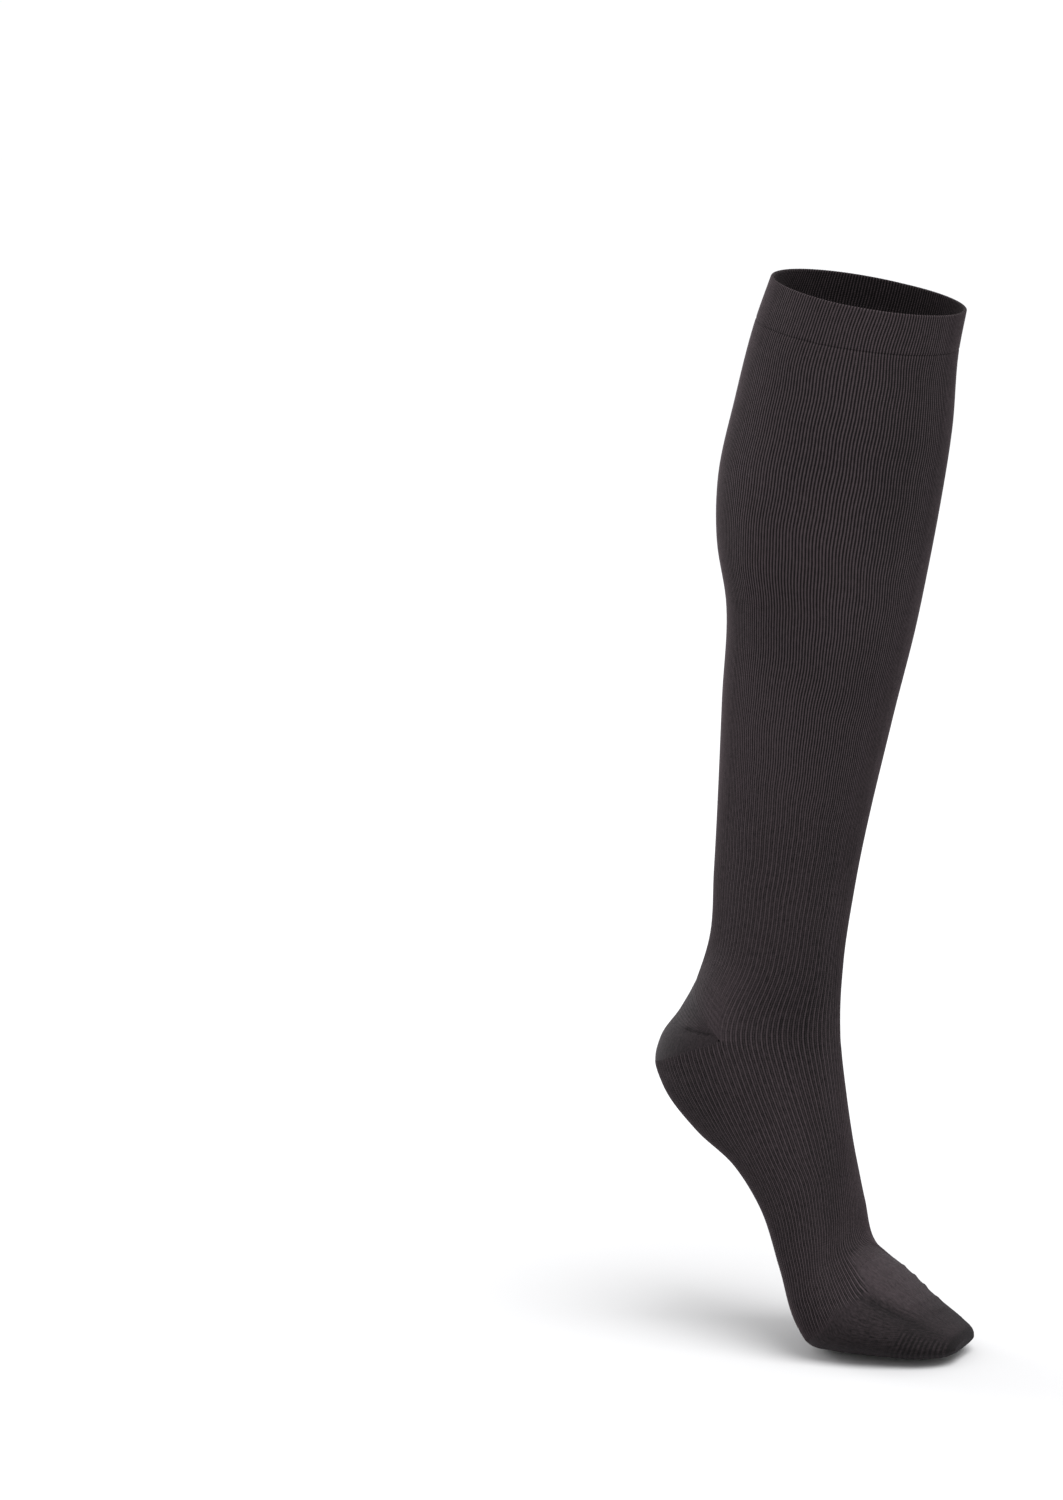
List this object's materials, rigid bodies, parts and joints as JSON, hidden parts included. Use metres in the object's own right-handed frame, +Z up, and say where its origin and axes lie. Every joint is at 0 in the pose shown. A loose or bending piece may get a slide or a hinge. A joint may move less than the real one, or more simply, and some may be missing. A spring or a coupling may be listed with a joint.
{
  "type": "compression stocking",
  "caption": "Knee-high ribbed compression stocking in worn shape, with turned cuff, plain heel pocket and closed plain toe, hollow.",
  "frame": {"origin": "centre of the cuff's opening, where the wearer's calf holds the stocking up", "axes": "+Z up towards the knee, +X towards the toes, +Y across the foot; the X-Z plane is the stocking's middle"},
  "size_m": [0.1641, 0.106, 0.5288],
  "materials": {
    "welt_knit": "matte elastic rib, double layer",
    "rib_knit": "matte elastic 1x1 rib",
    "plain_knit": "smooth plain knit with a soft sheen"
  },
  "bodies": {
    "root": {"cuff": "welt_knit", "leg": "rib_knit", "heel": "plain_knit", "foot": "rib_knit", "toe": "plain_knit"}
  },
  "joints": []
}
